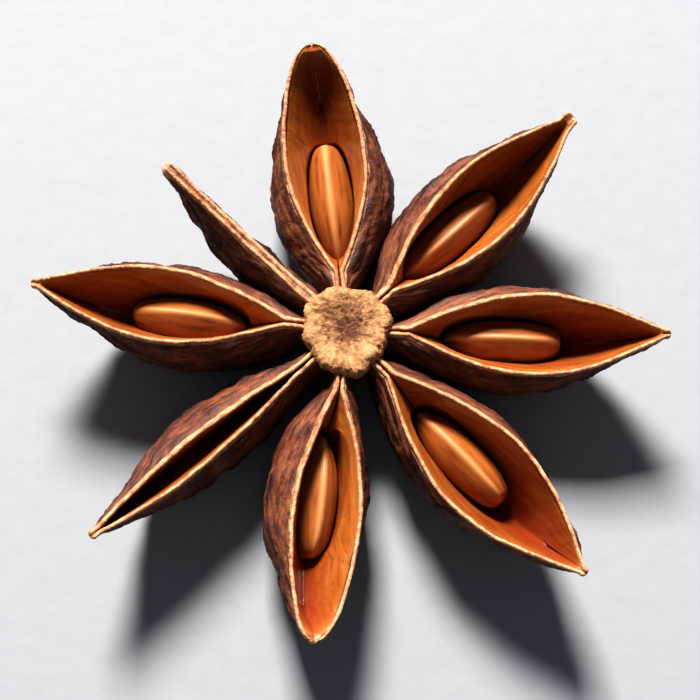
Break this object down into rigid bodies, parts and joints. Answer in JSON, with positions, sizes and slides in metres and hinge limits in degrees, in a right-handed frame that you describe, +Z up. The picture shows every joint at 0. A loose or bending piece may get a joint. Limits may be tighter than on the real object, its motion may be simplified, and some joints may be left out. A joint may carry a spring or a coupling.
{
  "type": "star anise pod",
  "caption": "Whole dried star anise pod: boat-shaped woody carpels, most of them split open, round a pale central column, with glossy amber seeds lying in them.",
  "frame": {"origin": "middle of the pod's outline seen from above, on the plane that its keels rest on", "axes": "+Z up, out of the pod's open side; the carpel called north points close to +Y and the one called east close to +X"},
  "size_m": [0.035, 0.0338, 0.0076],
  "materials": {
    "pericarp": "dry woody husk: dark red-brown wrinkled skin, smooth satin amber lining, pale tan rims and column",
    "seed": "smooth, polished amber-brown seed coat with a paler ridge"
  },
  "bodies": {
    "root": {"pod": "pericarp", "seed_east": "seed", "seed_northeast": "seed", "seed_north": "seed", "seed_west": "seed", "seed_south": "seed", "seed_southeast": "seed"}
  },
  "joints": []
}
